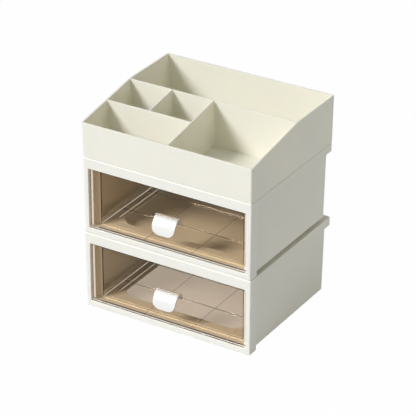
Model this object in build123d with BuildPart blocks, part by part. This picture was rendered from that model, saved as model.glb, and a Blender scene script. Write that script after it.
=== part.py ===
from build123d import *
import math
import os

os.makedirs("parts", exist_ok=True)

# Overall sizes: two like drawer units stacked under one open tray
width = 260.0
depth = 212.0
unit_height = 112.5
side_draft = 0.8
back_draft = 3.0

# Front frame: a hollow picture frame, open at the back, that carries the front of its unit
frame_depth = 15.5
post_width = 8.2
top_rail = 15.5
bottom_rail = 8.8
frame_skin = 2.2
window_corner = 1.0
frame_corner = 2.2
frame_round = 2.0
frame_edge = 1.0

# Cabinet: sides, back and an open floor in one moulding
cabinet_wall = 2.2
floor_lift = 8.4
cabinet_floor = 2.0
back_overhang = 14.4
back_corner = 3.0
flange = 2.0
spigot = 2.0
spigot_depth = 9.0
lip_height = 9.0
lip_root = 3.0
ledge_front = 33.0
ledge_side = 35.0
ledge_back = 20.0
ledge_corner = 13.0
runner_inset = 11.5
runner_side = 5.3
runner_width = 2.4
guide_height = 8.5
guide_width = 2.0

# Top cover: a slab that overhangs the back of the cabinet
cover_height = 12.2
cover_plate = 2.4
cover_wall = 2.2
cover_edge = 1.8
tongue_height = 6.0
tongue_depth = 9.0
tongue_end = 14.0
keeper = 2.0

# Rear feet: soft plugs under the back of the cabinet
foot_radius = 6.0
foot_edge = 0.8
stem_radius = 2.5
foot_inset = 36.0
foot_back = 19.5

# Drawer: a see-through tub with a wider front
drawer_wall = 2.2
drawer_floor = 1.5
drawer_corner = 2.5
drawer_edge = 1.2
floor_edge = 1.2
rim_edge = 0.5
panel_recess = 1.0
panel_corner = 3.0
panel_gap = 1.0
panel_lift = 0.8
panel_foot_gap = 0.8
shoulder = 8.6
tub_drop = 6.0
drawer_back_gap = 3.0
rib_width = 1.2
rib_height = 0.8
rib_cells = 3

# Pull tab: a bent strip hooked through a slot in the drawer's front
tab_width = 35.0
tab_sheet = 1.8
tab_top = 57.6
tab_radius = 9.0
tab_centre = 5.4
tab_flare = 45.0
tab_sweep = 27.5
tab_tongue = 1.5
tab_hook = 2.5
tab_corner = 11.5
tab_edge = 0.4

# Tray: an open box with fixed dividers, low at the front
tray_front = 51.0
tray_back = 69.4
tray_level = 115.7
tray_bend = 120.0
tray_flare = 0.9
tray_wall = 2.4
tray_floor = 2.5
tray_corner = 2.5
pocket_corner = 1.5
tray_edge = 0.5
tray_foot_edge = 0.9
divider = 1.9
centre_place = 3.0
rim_upward_share = 0.9

# Clearances
slide_gap = 0.3
guide_gap = 0.5
seat_gap = 0.2
overrun = 5.0

# Places that several pieces share, worked out from the sizes above
tab_angle = math.radians(tab_flare)
tab_reach = tab_sweep - (tab_sweep - tab_radius) * math.cos(tab_angle) - tab_centre
front = (tab_reach - depth - tray_flare) / 2
back = front + depth
frame_back = front + frame_depth
window_half = width / 2 - post_width
window_top = unit_height - top_rail
cabinet_top = unit_height - cover_height
cabinet_back = back - back_overhang
floor_top = floor_lift + cabinet_floor
base_half = width / 2 - side_draft
inside_half = base_half - cabinet_wall
inside_back = cabinet_back - back_draft - cabinet_wall
opening_half = width / 2 - ledge_side
opening_front = front + ledge_front
opening_back = inside_back - ledge_back
foot_x = width / 2 - foot_inset
foot_y = inside_back - foot_back
drawer_half = window_half - panel_gap
drawer_bottom = floor_top + panel_lift
drawer_top = window_top - panel_gap
drawer_front = front + panel_recess
panel_back = drawer_front + drawer_wall
panel_bottom = bottom_rail + panel_foot_gap
drawer_back = inside_back - drawer_back_gap
front_box_back = frame_back - slide_gap
tub_half = drawer_half - shoulder
tub_top = drawer_top - tub_drop
guide_half = tub_half + guide_gap
tab_y = front + tab_centre
tab_middle = tab_top - tab_radius
tab_tip = tab_middle - (tab_sweep - tab_radius) * math.sin(tab_angle) - tab_tongue


def rectangle(left, right, near, far, corner=0, mode=Mode.ADD):
    """Draws a rectangle, given by its four sides, in the open sketch."""
    with Locations(((left + right) / 2, (near + far) / 2)):
        if corner:
            RectangleRounded(right - left, far - near, corner, mode=mode)
        else:
            Rectangle(right - left, far - near, mode=mode)


def leaning_face(inset):
    """Draws the front outline of a unit, narrower at its base, in the open sketch."""
    Polygon(
        (inset - base_half, inset),
        (base_half - inset, inset),
        (width / 2 - inset, unit_height - inset),
        (inset - width / 2, unit_height - inset),
        align=None,
    )


def divider_sides(place):
    """Gives the two faces of an upright divider, each as its place at the floor and at the rim."""
    return [(side, side) for side in (place - divider / 2, place + divider / 2)]


# Front frame: outline with leaning sides, a window, eased front edges and a channel open to the back
with BuildPart() as front_frame:
    with BuildSketch(Plane.XZ.offset(-frame_back)) as frame_face:
        leaning_face(0)
        fillet(frame_face.vertices(), frame_corner)
    extrude(amount=frame_depth)
    fillet(front_frame.faces().sort_by(Axis.Y)[0].edges(), frame_round)
    with BuildSketch(Plane.XZ.offset(-frame_back)):
        rectangle(-window_half, window_half, bottom_rail, window_top, window_corner)
    extrude(amount=frame_depth, mode=Mode.SUBTRACT)
    fillet(front_frame.faces().sort_by(Axis.Y)[0].inner_wires()[0].edges(), frame_edge)
    with BuildSketch(Plane.XZ.offset(-frame_back)):
        leaning_face(frame_skin)
        rectangle(
            -window_half - frame_skin,
            window_half + frame_skin,
            bottom_rail - frame_skin,
            window_top + frame_skin,
            mode=Mode.SUBTRACT,
        )
    extrude(amount=frame_depth - frame_skin, mode=Mode.SUBTRACT)

# Cabinet: leaning sides and back round a floor with a large opening, and a flange behind the frame
with BuildPart() as cabinet:
    with BuildSketch(Plane.XY.offset(floor_lift)):
        rectangle(-base_half, base_half, frame_back, cabinet_back - back_draft)
    with BuildSketch(Plane.XY.offset(cabinet_top)):
        rectangle(-width / 2, width / 2, frame_back, cabinet_back)
    loft()
    fillet(cabinet.faces().sort_by(Axis.Y)[-1].edges().filter_by(Axis.X, reverse=True), back_corner)
    with BuildSketch(Plane.XY.offset(floor_top)):
        rectangle(-inside_half, inside_half, frame_back + flange, inside_back)
    with BuildSketch(Plane.XY.offset(cabinet_top)):
        rectangle(
            -inside_half - side_draft,
            inside_half + side_draft,
            frame_back + flange,
            inside_back + back_draft,
        )
    loft(mode=Mode.SUBTRACT)
    with BuildSketch(Plane.XZ.offset(-frame_back - flange)):
        rectangle(-guide_half, guide_half, floor_top, window_top)
    extrude(amount=flange, mode=Mode.SUBTRACT)
    with BuildSketch() as floor_opening:
        rectangle(-opening_half, opening_half, opening_front, opening_back)
        chamfer(floor_opening.vertices(), ledge_corner)
    extrude(amount=floor_top, mode=Mode.SUBTRACT)
    # The runner is a low ridge round the opening, and the guides keep the drawer straight
    with BuildSketch(Plane.XY.offset(floor_top)):
        rectangle(
            -opening_half - runner_side - runner_width,
            opening_half + runner_side + runner_width,
            opening_front - runner_inset - runner_width,
            opening_back + runner_inset + runner_width,
        )
        rectangle(
            -opening_half - runner_side,
            opening_half + runner_side,
            opening_front - runner_inset,
            opening_back + runner_inset,
            mode=Mode.SUBTRACT,
        )
    extrude(amount=panel_lift - slide_gap)
    with BuildSketch(Plane.XY.offset(floor_top)):
        with GridLocations(2 * guide_half + guide_width, 0, 2, 1):
            with Locations((0, (frame_back + flange + inside_back) / 2)):
                Rectangle(guide_width, inside_back - frame_back - flange)
    extrude(amount=guide_height)
    # Lips stand up inside the cover, and spigots reach into the frame's hollow posts
    lip_far = width / 2 - cover_wall - seat_gap
    lip_near = lip_far - cabinet_wall
    lip_front = frame_back + cover_wall + back_corner
    for low, high, reach in (
        (cabinet_top - lip_root, cabinet_top, width / 2 - cabinet_wall / 2),
        (cabinet_top, cabinet_top + lip_height, lip_far),
    ):
        with BuildSketch(Plane.XY.offset(low)):
            with GridLocations(lip_near + reach, 0, 2, 1):
                with Locations((0, (lip_front + inside_back) / 2)):
                    Rectangle(reach - lip_near, inside_back - lip_front)
        extrude(amount=high - low)
    with BuildSketch(Plane.XY.offset(cabinet_top)):
        rectangle(-lip_near, lip_near, cabinet_back - cabinet_wall, cabinet_back)
    extrude(amount=lip_height)
    spigot_middle = base_half - frame_skin - seat_gap - spigot / 2
    with BuildSketch(Plane.XZ.offset(-frame_back)):
        with GridLocations(2 * spigot_middle, 0, 2, 1):
            with Locations((0, (floor_lift + cabinet_top) / 2)):
                Rectangle(spigot, cabinet_top - floor_lift)
    extrude(amount=spigot_depth)
    with BuildSketch():
        with GridLocations(2 * foot_x, 0, 2, 1):
            with Locations((0, foot_y)):
                Circle(stem_radius + seat_gap)
    extrude(amount=floor_top, mode=Mode.SUBTRACT)

# Top cover: an upturned shallow tray with a tongue for the frame's top rail and a keeper behind the back
with BuildPart() as top_cover:
    with BuildSketch(Plane.XY.offset(cabinet_top)):
        rectangle(-width / 2, width / 2, frame_back, back)
    extrude(amount=cover_height)
    fillet(top_cover.faces().sort_by(Axis.Y)[-1].edges().filter_by(Axis.Z), back_corner)
    top_edges = top_cover.faces().sort_by(Axis.Z)[-1].edges().sort_by(Axis.Y)[1:]
    fillet(top_edges, cover_edge)
    with BuildSketch(Plane.XY.offset(cabinet_top)):
        rectangle(
            cover_wall - width / 2,
            width / 2 - cover_wall,
            frame_back + cover_wall,
            back - cover_wall,
            back_corner - cover_edge / 2,
        )
    extrude(amount=cover_height - cover_plate, mode=Mode.SUBTRACT)
    with BuildSketch(Plane.XY.offset(cabinet_top)):
        keeper_front = cabinet_back + seat_gap
        rectangle(cover_wall - width / 2, width / 2 - cover_wall, keeper_front, keeper_front + keeper)
    extrude(amount=cover_height - cover_plate)
    with BuildSketch(Plane.XZ.offset(-frame_back)):
        tongue_low = window_top + frame_skin + seat_gap
        tongue_half = window_half - tongue_end
        rectangle(-tongue_half, tongue_half, tongue_low, tongue_low + tongue_height)
    extrude(amount=tongue_depth)

# Rear foot: a plug with a stem in the cabinet's floor
with BuildPart() as rear_foot:
    with BuildSketch():
        with Locations((foot_x, foot_y)):
            Circle(foot_radius)
    extrude(amount=floor_lift)
    fillet(rear_foot.edges().group_by(Axis.Z)[0], foot_edge)
    with BuildSketch(Plane.XY.offset(floor_lift)):
        with Locations((foot_x, foot_y)):
            Circle(stem_radius)
    extrude(amount=floor_top - floor_lift)

# Drawer: one wall all round a stepped plan, ribs on the floor and a slot for the pull tab
with BuildPart() as drawer:
    with BuildSketch(Plane.XY.offset(drawer_bottom)) as drawer_plan:
        rectangle(-drawer_half, drawer_half, drawer_front, front_box_back, drawer_corner)
        rectangle(-tub_half, tub_half, panel_back, drawer_back, drawer_corner)
    extrude(amount=drawer_top - drawer_bottom)
    base_edges = drawer.faces().sort_by(Axis.Z)[0].edges()
    fillet([edge for edge in base_edges if edge.center().Y > front_box_back - drawer_wall], drawer_edge)
    # The front hangs a little below the floor, down to the frame
    with BuildSketch(Plane.XY.offset(panel_bottom)):
        add(drawer_plan.sketch_local)
        rectangle(-drawer_half, drawer_half, drawer_front, panel_back, mode=Mode.INTERSECT)
    extrude(amount=drawer_top - panel_bottom)
    with BuildSketch(Plane.XZ.offset(-drawer_back)):
        rectangle(-drawer_half, drawer_half, panel_bottom, drawer_top, panel_corner)
    extrude(amount=drawer_back - drawer_front, mode=Mode.INTERSECT)
    drawer_room = drawer_bottom + drawer_floor
    with BuildSketch(Plane.XY.offset(drawer_room)):
        add(drawer_plan.sketch_local)
        offset(amount=-drawer_wall, mode=Mode.REPLACE)
    extrude(amount=drawer_top - drawer_bottom, mode=Mode.SUBTRACT)
    fillet(drawer.edges().filter_by_position(Axis.Z, drawer_room, drawer_room), floor_edge)
    with BuildSketch(Plane.XY.offset(tub_top)):
        rectangle(-drawer_half, drawer_half, front_box_back, drawer_back)
    extrude(amount=drawer_top - tub_top, mode=Mode.SUBTRACT)
    room_half = tub_half - drawer_wall
    room_depth = drawer_back - drawer_wall - panel_back
    with BuildSketch(Plane.XY.offset(drawer_room)):
        for cell in range(1, rib_cells):
            rib_x = 2 * room_half * cell / rib_cells - room_half
            rib_y = panel_back + room_depth * cell / rib_cells
            with Locations((rib_x, panel_back + room_depth / 2)):
                Rectangle(rib_width, room_depth + drawer_wall)
            with Locations((0, rib_y)):
                Rectangle(2 * room_half + drawer_wall, rib_width)
    extrude(amount=rib_height)
    slot_reach = max(abs(drawer_front - tab_y), abs(panel_back - tab_y))
    slot_rise = math.sqrt((tab_radius - tab_sheet) ** 2 - slot_reach**2)
    with BuildSketch(Plane.XZ.offset(-panel_back)):
        rectangle(
            -tab_width / 2 - seat_gap,
            tab_width / 2 + seat_gap,
            tab_middle + slot_rise - seat_gap,
            tab_top + seat_gap,
        )
    extrude(amount=drawer_wall, mode=Mode.SUBTRACT)
    fillet(drawer.edges().filter_by_position(Axis.Z, tub_top, tub_top), rim_edge)

# Pull tab: a strip bent over the slot, with a short hook behind the panel and a rounded tongue in front
with BuildPart() as pull_tab:
    with BuildSketch(Plane.YZ):
        with BuildLine():
            bend = CenterArc((tab_y, tab_middle), tab_radius, 0, 180 - tab_flare)
            sweep_arc = JernArc(bend @ 1, bend % 1, tab_sweep, tab_flare)
            PolarLine(sweep_arc @ 1, tab_tongue, -90)
            PolarLine(bend @ 0, tab_hook, -90)
            offset(amount=tab_sheet, side=Side.LEFT)
        make_face()
    extrude(amount=tab_width / 2, both=True)
    with BuildSketch(Plane.XZ.offset(-frame_back)) as tab_face:
        rectangle(-tab_width / 2, tab_width / 2, tab_tip, tab_top)
        fillet(tab_face.vertices().group_by(Axis.Y)[0], tab_corner)
    extrude(amount=frame_depth + tab_reach, mode=Mode.INTERSECT)
    rim_edges = pull_tab.edges().filter_by(Axis.X, reverse=True)
    fillet([edge for edge in rim_edges if edge.length > tab_sheet + tab_edge], tab_edge)

# Tray: walls that lean outwards, five pockets and a rim that slopes down to the front.
# Each side of a pocket has two places, at the floor and at the rim
with BuildPart() as tray:
    with BuildSketch():
        rectangle(-width / 2, width / 2, front, back, tray_corner)
    with BuildSketch(Plane.XY.offset(tray_back)):
        rectangle(
            -width / 2 - tray_flare,
            width / 2 + tray_flare,
            front - tray_flare,
            back + tray_flare,
            tray_corner,
        )
    loft()
    fillet(tray.faces().sort_by(Axis.Z)[0].edges(), tray_foot_edge)
    left_wall = (tray_wall - width / 2, tray_wall - width / 2 - tray_flare)
    right_wall = (width / 2 - tray_wall, width / 2 - tray_wall + tray_flare)
    front_wall = (front + tray_wall, front + tray_wall - tray_flare)
    back_wall = (back - tray_wall, back - tray_wall + tray_flare)
    level_place = front + tray_level
    small_place = (left_wall[0] + centre_place) / 2
    middle_place = (front_wall[0] + level_place) / 2
    centre_left, centre_right = divider_sides(centre_place)
    small_left, small_right = divider_sides(small_place)
    middle_near, middle_far = divider_sides(middle_place)
    level_near, level_far = divider_sides(level_place)
    pockets = [
        (left_wall, right_wall, level_far, back_wall),
        (centre_right, right_wall, front_wall, level_near),
        (left_wall, centre_left, front_wall, middle_near),
        (left_wall, small_left, middle_far, level_near),
        (small_right, centre_left, middle_far, level_near),
    ]
    for left, right, near, far in pockets:
        for end, height in enumerate((tray_floor, tray_back)):
            with BuildSketch(Plane.XY.offset(height)):
                rectangle(left[end], right[end], near[end], far[end], pocket_corner)
        loft(mode=Mode.SUBTRACT)
    rim_slope = (tray_back - tray_front) / tray_level
    with BuildSketch(Plane.YZ):
        with BuildLine():
            rim = FilletPolyline(
                (front - overrun, tray_front - rim_slope * overrun),
                (level_place, tray_back),
                (back + overrun, tray_back),
                radius=tray_bend,
            )
            Polyline(
                rim @ 1,
                (back + overrun, tray_back + overrun),
                (front - overrun, tray_back + overrun),
                rim @ 0,
            )
        make_face()
    extrude(amount=width, both=True, mode=Mode.SUBTRACT)
    # The rim's own seams stay, and its outline and the pockets' mouths are eased
    rim_faces = tray.faces().filter_by(lambda face: face.center().Z > tray_front / 2)
    rim_faces = rim_faces.filter_by(lambda face: face.normal_at().Z > rim_upward_share)
    rim_edges = [edge for face in rim_faces for edge in face.edges()]
    fillet([edge for edge in rim_edges if sum(edge.is_same(other) for other in rim_edges) == 1], tray_edge)

# Each unit has every piece but the tray, with a foot on each side, and the tray stands on the upper unit
pieces = {"tray": Pos(0, 0, 2 * unit_height) * tray.part}
for level, unit in enumerate(("lower", "upper")):
    place = Pos(0, 0, level * unit_height)
    pieces[f"{unit}_front_frame"] = place * front_frame.part
    pieces[f"{unit}_cabinet"] = place * cabinet.part
    pieces[f"{unit}_top_cover"] = place * top_cover.part
    pieces[f"{unit}_right_foot"] = place * rear_foot.part
    pieces[f"{unit}_left_foot"] = place * Pos(-2 * foot_x, 0, 0) * rear_foot.part
    pieces[f"{unit}_drawer"] = place * drawer.part
    pieces[f"{unit}_pull_tab"] = place * pull_tab.part
for name, piece in pieces.items():
    piece.label = name
    export_step(piece, f"parts/{name}.step")
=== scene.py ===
import math

import bpy
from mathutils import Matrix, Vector

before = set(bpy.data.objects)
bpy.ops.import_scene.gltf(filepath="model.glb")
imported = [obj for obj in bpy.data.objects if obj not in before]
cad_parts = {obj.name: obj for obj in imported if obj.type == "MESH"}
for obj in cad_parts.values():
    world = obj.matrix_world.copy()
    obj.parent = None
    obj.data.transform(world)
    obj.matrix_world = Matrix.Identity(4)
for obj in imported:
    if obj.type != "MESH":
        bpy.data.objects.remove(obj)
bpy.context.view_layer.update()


# Cabinets: the sides, back and open floor of each unit, injection moulded in one piece from warm
# off-white plastic. The mould leaves a fine satin grain and faint clouding where the plastic flowed.
def dial_in(node, settings):
    """Sets a node's sockets by name."""
    for socket_name, value in settings.items():
        node.inputs[socket_name].default_value = value


def wire_up(tree, wires):
    """Links the sockets of a node tree, from source to target."""
    for source, target in wires:
        tree.links.new(source, target)


moulded_grain = bpy.data.node_groups.new("moulded_grain", "ShaderNodeTree")
for side, socket_name, socket_type in (
    ("INPUT", "Colour", "NodeSocketColor"),
    ("INPUT", "Cloud Colour", "NodeSocketColor"),
    ("INPUT", "Roughness", "NodeSocketFloat"),
    ("INPUT", "Roughness Spread", "NodeSocketFloat"),
    ("INPUT", "Grain Scale", "NodeSocketFloat"),
    ("OUTPUT", "Colour", "NodeSocketColor"),
    ("OUTPUT", "Roughness", "NodeSocketFloat"),
    ("OUTPUT", "Height", "NodeSocketFloat"),
):
    moulded_grain.interface.new_socket(socket_name, in_out=side, socket_type=socket_type)
grain_in = moulded_grain.nodes.new("NodeGroupInput")
grain_out = moulded_grain.nodes.new("NodeGroupOutput")
grain_place = moulded_grain.nodes.new("ShaderNodeTexCoord")
flow_clouds = moulded_grain.nodes.new("ShaderNodeTexNoise")
dial_in(flow_clouds, {"Scale": 14.0, "Detail": 3.0, "Roughness": 0.55})
satin_grain = moulded_grain.nodes.new("ShaderNodeTexNoise")
dial_in(satin_grain, {"Detail": 2.0, "Roughness": 0.6})
cloud_mix = moulded_grain.nodes.new("ShaderNodeMix")
cloud_mix.data_type = "RGBA"
grain_middle = 0.5
grain_centred = moulded_grain.nodes.new("ShaderNodeMath")
grain_centred.operation = "SUBTRACT"
grain_centred.inputs[1].default_value = grain_middle
grain_roughness = moulded_grain.nodes.new("ShaderNodeMath")
grain_roughness.operation = "MULTIPLY_ADD"
wire_up(moulded_grain, (
    (grain_place.outputs["Object"], flow_clouds.inputs["Vector"]),
    (grain_place.outputs["Object"], satin_grain.inputs["Vector"]),
    (grain_in.outputs["Grain Scale"], satin_grain.inputs["Scale"]),
    (flow_clouds.outputs["Fac"], cloud_mix.inputs["Factor"]),
    (grain_in.outputs["Colour"], cloud_mix.inputs["A"]),
    (grain_in.outputs["Cloud Colour"], cloud_mix.inputs["B"]),
    (satin_grain.outputs["Fac"], grain_centred.inputs[0]),
    (grain_centred.outputs["Value"], grain_roughness.inputs[0]),
    (grain_in.outputs["Roughness Spread"], grain_roughness.inputs[1]),
    (grain_in.outputs["Roughness"], grain_roughness.inputs[2]),
    (cloud_mix.outputs["Result"], grain_out.inputs["Colour"]),
    (grain_roughness.outputs["Value"], grain_out.inputs["Roughness"]),
    (satin_grain.outputs["Fac"], grain_out.inputs["Height"]),
))


def grained(nodes, colour, cloud_colour, roughness, roughness_spread, grain_scale):
    """Places the shared grain in a material with its own values, and gives the node back."""
    grain = nodes.new("ShaderNodeGroup")
    grain.node_tree = moulded_grain
    dial_in(grain, {
        "Colour": (*colour, 1.0),
        "Cloud Colour": (*cloud_colour, 1.0),
        "Roughness": roughness,
        "Roughness Spread": roughness_spread,
        "Grain Scale": grain_scale,
    })
    return grain


def moulded_plastic(name, relief, milkiness, **grain_values):
    """Makes a moulded plastic and gives it back; light goes a little way into a milky one."""
    material = bpy.data.materials.new(name)
    material.use_nodes = True
    nodes = material.node_tree.nodes
    shader = nodes["Principled BSDF"]
    dial_in(shader, {
        "Subsurface Weight": milkiness,
        "Subsurface Radius": (1.0, 0.72, 0.42),
        "Subsurface Scale": 0.006,
    })
    grain = grained(nodes, **grain_values)
    bump = nodes.new("ShaderNodeBump")
    dial_in(bump, {"Strength": 0.35, "Distance": relief})
    wire_up(material.node_tree, (
        (grain.outputs["Colour"], shader.inputs["Base Color"]),
        (grain.outputs["Roughness"], shader.inputs["Roughness"]),
        (grain.outputs["Height"], bump.inputs["Height"]),
        (bump.outputs["Normal"], shader.inputs["Normal"]),
    ))
    return material


def dress(material, *names):
    """Gives a finish to the named pieces."""
    for name in names:
        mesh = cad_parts[name].data
        mesh.materials.clear()
        mesh.materials.append(material)


cabinet_plastic = moulded_plastic(
    "cabinet_plastic",
    colour=(0.88, 0.865, 0.75),
    cloud_colour=(0.866, 0.85, 0.732),
    roughness=0.48,
    roughness_spread=0.14,
    grain_scale=950.0,
    relief=0.00003,
    milkiness=0.15,
)
dress(cabinet_plastic, "lower_cabinet", "upper_cabinet")


# Rear feet: soft plugs pushed up into the cabinet's floor, so that the back of each unit stands
# level with its front frame. Pale grey rubber, dull and a little powdery.
foot_rubber = moulded_plastic(
    "foot_rubber",
    colour=(0.62, 0.62, 0.59),
    cloud_colour=(0.52, 0.52, 0.49),
    roughness=0.82,
    roughness_spread=0.12,
    grain_scale=1600.0,
    relief=0.00004,
    milkiness=0.0,
)
dress(foot_rubber, "lower_left_foot", "lower_right_foot", "upper_left_foot", "upper_right_foot")


# Top covers: a shallow slab pressed down on each cabinet, overhanging its back. The same warm
# off-white plastic, a little smoother than the cabinets.
cover_plastic = moulded_plastic(
    "cover_plastic",
    colour=(0.88, 0.865, 0.75),
    cloud_colour=(0.868, 0.852, 0.735),
    roughness=0.44,
    roughness_spread=0.12,
    grain_scale=1000.0,
    relief=0.000025,
    milkiness=0.1,
)
dress(cover_plastic, "lower_top_cover", "upper_top_cover")


# Front frames: the bezel round each drawer, which stands on the table like a foot. Moulded hollow
# from behind in the off-white plastic, with polished, softly rounded edges that catch the light.
frame_plastic = moulded_plastic(
    "frame_plastic",
    colour=(0.915, 0.90, 0.79),
    cloud_colour=(0.903, 0.888, 0.775),
    roughness=0.36,
    roughness_spread=0.10,
    grain_scale=1100.0,
    relief=0.00002,
    milkiness=0.15,
)
dress(frame_plastic, "lower_front_frame", "upper_front_frame")


# Drawers: see-through tubs of tea-brown clear plastic, moulded in one piece with a wider front and
# low ribs on the floor. Polished, with faint flow marks in the tint. Pale glowing lines along the
# inner floor corners, front corners, foot of the front and over the runner are painted highlights,
# and dark lines along the lower front edge, foot of the front and cross rib are painted shade.
painted_edge_light = bpy.data.node_groups.new("painted_edge_light", "ShaderNodeTree")
for side, socket_name in (("INPUT", "Colour"), ("OUTPUT", "Colour"), ("OUTPUT", "Painted Highlights")):
    painted_edge_light.interface.new_socket(socket_name, in_out=side, socket_type="NodeSocketColor")
edges_in = painted_edge_light.nodes.new("NodeGroupInput")
edges_out = painted_edge_light.nodes.new("NodeGroupOutput")
edges_place = painted_edge_light.nodes.new("ShaderNodeTexCoord")
edges_axes = painted_edge_light.nodes.new("ShaderNodeSeparateXYZ")
painted_edge_light.links.new(edges_place.outputs["Object"], edges_axes.inputs["Vector"])


def edge_sum(operation, first, *values):
    """Adds a sum to the painted edge light and shade of the clear plastic: a socket first, then
    sockets or numbers.
    """
    step = painted_edge_light.nodes.new("ShaderNodeMath")
    step.operation = operation
    painted_edge_light.links.new(first, step.inputs[0])
    for place, value in enumerate(values, 1):
        if isinstance(value, float):
            step.inputs[place].default_value = value
        else:
            painted_edge_light.links.new(value, step.inputs[place])
    return step.outputs["Value"]


def band(axis, middle, reach):
    """Marks a band across an axis, as far as its reach to each side of the middle."""
    return edge_sum("COMPARE", axis, middle, reach)


def both(first, second):
    """Marks the places that two marks share."""
    return edge_sum("MULTIPLY", first, second)


# Places on a drawer, in metres: from its middle, along it, and up from the base of its own unit
unit_height = 0.1125
sideways = edge_sum("ABSOLUTE", edges_axes.outputs["X"])
backwards = edges_axes.outputs["Y"]
upwards = edge_sum("MODULO", edges_axes.outputs["Z"], unit_height)

front_plane = -0.1008
front_face = edge_sum("LESS_THAN", backwards, front_plane)
# The lower front edge of the drawer is painted dark: painted shade for the shadow gap under its
# front.
lower_edge_top = 0.0106
painted_shade_lower_edge = both(edge_sum("LESS_THAN", upwards, lower_edge_top), front_face)
# At the foot of the front: a pale strip of painted highlight, with a painted dark line of shade
# above it.
foot_highlight_strip = both(band(upwards, middle=0.0117, reach=0.0011), front_face)
foot_shade_line = both(band(upwards, middle=0.0132, reach=0.0003), front_face)
# A painted dark line of shade along the cross rib on the drawer's floor.
cross_rib_shade = both(
    band(upwards, middle=0.0132, reach=0.0004),
    band(backwards, middle=-0.0374, reach=0.0008),
)
# Painted highlights: a pale glowing line along the inner floor corners and a pale strip at the front
# corners.
floor_corner_highlight = both(
    band(upwards, middle=0.01325, reach=0.0003),
    band(sideways, middle=0.1096, reach=0.0006),
)
front_corner_highlight = both(
    band(sideways, middle=0.1185, reach=0.0005),
    band(backwards, middle=-0.0968, reach=0.0019),
)
# A pale glowing line over the runner, from runner_start towards the back: a painted highlight.
runner_band = both(
    band(upwards, middle=0.0112, reach=0.0001),
    band(sideways, middle=0.1004, reach=0.0005),
)
runner_start = -0.0600
runner_highlight = both(runner_band, edge_sum("GREATER_THAN", backwards, runner_start))

# The painted shade lines darken the base colour; the painted highlights glow as emission.
thin_shade_share = 0.45
thin_shade_lines = edge_sum("MAXIMUM", foot_shade_line, cross_rib_shade)
painted_shade_lines = edge_sum("MULTIPLY_ADD", thin_shade_lines, thin_shade_share, painted_shade_lower_edge)
foot_highlight_share = 0.36
corner_highlights = edge_sum("MAXIMUM", edge_sum("MAXIMUM", floor_corner_highlight, front_corner_highlight), runner_highlight)
painted_highlight_lines = edge_sum("MULTIPLY_ADD", foot_highlight_strip, foot_highlight_share, corner_highlights)
# Painted shade: a dark colour mixed into the drawer's tint along the shade lines.
painted_edge_shade = painted_edge_light.nodes.new("ShaderNodeMix")
painted_edge_shade.data_type = "RGBA"
painted_edge_shade.inputs["B"].default_value = (0.06, 0.05, 0.045, 1.0)
# Painted highlight: a pale emission along the highlight lines, though the plastic is no lamp.
painted_edge_highlight = painted_edge_light.nodes.new("ShaderNodeMix")
painted_edge_highlight.data_type = "RGBA"
painted_edge_highlight.inputs["A"].default_value = (0.0, 0.0, 0.0, 1.0)
painted_edge_highlight.inputs["B"].default_value = (0.58, 0.59, 0.60, 1.0)
wire_up(painted_edge_light, (
    (painted_shade_lines, painted_edge_shade.inputs["Factor"]),
    (edges_in.outputs["Colour"], painted_edge_shade.inputs["A"]),
    (painted_edge_shade.outputs["Result"], edges_out.inputs["Colour"]),
    (painted_highlight_lines, painted_edge_highlight.inputs["Factor"]),
    (painted_edge_highlight.outputs["Result"], edges_out.inputs["Painted Highlights"]),
))

drawer_plastic = bpy.data.materials.new("drawer_plastic")
drawer_plastic.use_nodes = True
drawer_nodes = drawer_plastic.node_tree.nodes
drawer_shader = drawer_nodes["Principled BSDF"]
dial_in(drawer_shader, {
    "Transmission Weight": 1.0,
    "IOR": 1.42,
    "Specular Tint": (0.4, 0.4, 0.4, 1.0),
    "Emission Strength": 1.0,
})
drawer_grain = grained(
    drawer_nodes,
    colour=(0.97, 0.888, 0.79),
    cloud_colour=(0.957, 0.872, 0.772),
    roughness=0.012,
    roughness_spread=0.01,
    grain_scale=120.0,
)
# The drawer takes its painted shade lines in the base colour and its painted highlights as emission.
drawer_painted_light = drawer_nodes.new("ShaderNodeGroup")
drawer_painted_light.node_tree = painted_edge_light
# Lamp light and bounced light pass straight through with a tint, so that the inside isn't dark
drawer_light_path = drawer_nodes.new("ShaderNodeLightPath")
drawer_lamp_tint = drawer_nodes.new("ShaderNodeBsdfTransparent")
drawer_lamp_tint.inputs["Color"].default_value = (1.0, 0.985, 0.955, 1.0)
drawer_bounce_tint = drawer_nodes.new("ShaderNodeBsdfTransparent")
drawer_bounce_tint.inputs["Color"].default_value = (0.96, 0.915, 0.862, 1.0)
drawer_bounce_mix = drawer_nodes.new("ShaderNodeMixShader")
drawer_lamp_mix = drawer_nodes.new("ShaderNodeMixShader")
drawer_output = drawer_nodes["Material Output"]
wire_up(drawer_plastic.node_tree, (
    (drawer_grain.outputs["Colour"], drawer_painted_light.inputs["Colour"]),
    (drawer_painted_light.outputs["Colour"], drawer_shader.inputs["Base Color"]),
    (drawer_painted_light.outputs["Painted Highlights"], drawer_shader.inputs["Emission Color"]),
    (drawer_grain.outputs["Roughness"], drawer_shader.inputs["Roughness"]),
    (drawer_light_path.outputs["Is Diffuse Ray"], drawer_bounce_mix.inputs["Fac"]),
    (drawer_shader.outputs["BSDF"], drawer_bounce_mix.inputs[1]),
    (drawer_bounce_tint.outputs["BSDF"], drawer_bounce_mix.inputs[2]),
    (drawer_light_path.outputs["Is Shadow Ray"], drawer_lamp_mix.inputs["Fac"]),
    (drawer_bounce_mix.outputs["Shader"], drawer_lamp_mix.inputs[1]),
    (drawer_lamp_tint.outputs["BSDF"], drawer_lamp_mix.inputs[2]),
    (drawer_lamp_mix.outputs["Shader"], drawer_output.inputs["Surface"]),
))
dress(drawer_plastic, "lower_drawer", "upper_drawer")


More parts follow.
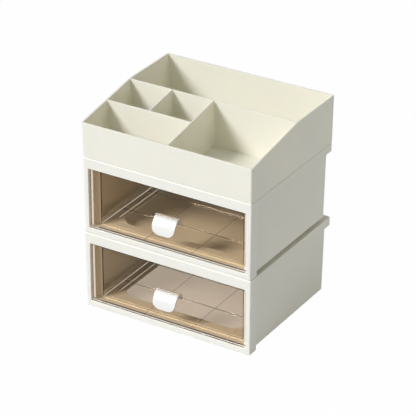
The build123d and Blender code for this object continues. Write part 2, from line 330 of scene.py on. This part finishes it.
# Pull tabs: white plastic strips hooked through a slot in each drawer's front, with a rounded tongue
# to pull on. Smooth and semi-gloss from handling.
tab_plastic = moulded_plastic(
    "tab_plastic",
    colour=(0.87, 0.87, 0.825),
    cloud_colour=(0.86, 0.86, 0.81),
    roughness=0.28,
    roughness_spread=0.08,
    grain_scale=1400.0,
    relief=0.00001,
    milkiness=0.0,
)
dress(tab_plastic, "lower_pull_tab", "upper_pull_tab")


# Tray: an open box with fixed dividers that stands on the upper unit. Cream plastic, satin outside
# and in, a shade warmer than the bezels.
tray_plastic = moulded_plastic(
    "tray_plastic",
    colour=(0.885, 0.869, 0.745),
    cloud_colour=(0.872, 0.854, 0.725),
    roughness=0.46,
    roughness_spread=0.12,
    grain_scale=950.0,
    relief=0.000025,
    milkiness=0.15,
)
dress(tray_plastic, "tray")


# Studio floor: a wide sheet of pale paper, a hair below the object's feet. It looks white to the
# camera, partly so in reflections and through the drawers, and still bounces light as paper does.
floor_width = 12.0
floor_drop = -0.0003
bpy.ops.object.select_all(action="DESELECT")
bpy.ops.mesh.primitive_plane_add(size=floor_width, location=(0.0, 0.0, floor_drop))
floor = bpy.context.object
floor.name = "studio_floor"
floor_paper = bpy.data.materials.new("floor_paper")
floor_paper.use_nodes = True
floor_nodes = floor_paper.node_tree.nodes
floor_nodes.clear()
paper = floor_nodes.new("ShaderNodeBsdfDiffuse")
paper.inputs["Color"].default_value = (0.62, 0.645, 0.68, 1.0)
paper_white = floor_nodes.new("ShaderNodeEmission")
dial_in(paper_white, {"Color": (1.0, 1.0, 1.0, 1.0), "Strength": 1.0})
white_share_seen = 0.985
white_share_mirrored = 0.25
white_share_through = 0.17
paper_path = floor_nodes.new("ShaderNodeLightPath")
seen_directly = floor_nodes.new("ShaderNodeMath")
seen_directly.operation = "MULTIPLY"
seen_directly.inputs[1].default_value = white_share_seen
seen_mirrored = floor_nodes.new("ShaderNodeMath")
seen_mirrored.operation = "MULTIPLY_ADD"
seen_mirrored.inputs[1].default_value = white_share_mirrored
seen_through = floor_nodes.new("ShaderNodeMath")
seen_through.operation = "MULTIPLY_ADD"
seen_through.inputs[1].default_value = white_share_through
paper_mix = floor_nodes.new("ShaderNodeMixShader")
paper_output = floor_nodes.new("ShaderNodeOutputMaterial")
wire_up(floor_paper.node_tree, (
    (paper_path.outputs["Is Camera Ray"], seen_directly.inputs[0]),
    (paper_path.outputs["Is Glossy Ray"], seen_mirrored.inputs[0]),
    (seen_directly.outputs["Value"], seen_mirrored.inputs[2]),
    (paper_path.outputs["Is Transmission Ray"], seen_through.inputs[0]),
    (seen_mirrored.outputs["Value"], seen_through.inputs[2]),
    (seen_through.outputs["Value"], paper_mix.inputs["Fac"]),
    (paper.outputs["BSDF"], paper_mix.inputs[1]),
    (paper_white.outputs["Emission"], paper_mix.inputs[2]),
    (paper_mix.outputs["Shader"], paper_output.inputs["Surface"]),
))
floor.data.materials.append(floor_paper)


# Studio light: even warm fill all round, and one soft key lamp from the front left above. A weak,
# very wide lamp from the right lights the shaded side, and a small one stands low behind it.
studio = bpy.data.worlds.new("studio")
bpy.context.scene.world = studio
studio.use_nodes = True
dial_in(studio.node_tree.nodes["Background"], {"Color": (1.0, 0.995, 0.98, 1.0), "Strength": 0.375})


def hang_lamp(name, kind, energy, colour, direction):
    """Hangs a lamp that shines along a direction, and gives it back."""
    lamp_data = bpy.data.lights.new(name, kind)
    lamp_data.energy = energy
    lamp_data.color = colour
    lamp = bpy.data.objects.new(name, lamp_data)
    bpy.context.scene.collection.objects.link(lamp)
    lamp.rotation_euler = Vector(direction).to_track_quat("-Z", "Y").to_euler()
    return lamp


key_lamp = hang_lamp(
    "key_lamp", "SUN", energy=2.49, colour=(1.0, 0.99, 1.05), direction=(1.0, 1.4, -1.05)
)
key_lamp.data.angle = math.radians(18.0)
side_lamp = hang_lamp(
    "side_lamp", "SUN", energy=0.13, colour=(1.0, 0.96, 0.88), direction=(-1.0, 0.35, -0.12)
)
side_lamp.data.angle = math.radians(35.0)
fill_lamp = hang_lamp(
    "fill_lamp", "AREA", energy=0.055, colour=(1.0, 0.95, 0.86), direction=(-1.0, -0.75, -0.05)
)
fill_lamp.data.size = 0.25
fill_lamp.data.spread = math.radians(80.0)
fill_lamp.location = (0.42, 0.30, 0.06)
fill_lamp.visible_camera = False


# Camera: a long lens a few metres away, so that the edges run nearly parallel. It stands round to
# the object's right and looks down on it.
camera_data = bpy.data.cameras.new("camera")
camera_data.sensor_width = 36.0
camera_data.lens = 206.6
camera_data.clip_end = 50.0
camera = bpy.data.objects.new("camera", camera_data)
bpy.context.scene.collection.objects.link(camera)
camera_target = Vector((-0.0005, 0.0041, 0.1368))
camera_azimuth = math.radians(31.6)
camera_elevation = math.radians(27.8)
camera_distance = 3.2166
camera_ray = Vector((
    math.sin(camera_azimuth) * math.cos(camera_elevation),
    -math.cos(camera_azimuth) * math.cos(camera_elevation),
    math.sin(camera_elevation),
))
camera.location = camera_target + camera_distance * camera_ray
camera.rotation_euler = (-camera_ray).to_track_quat("-Z", "Y").to_euler()
bpy.context.scene.camera = camera
bpy.context.scene.view_settings.view_transform = "Standard"
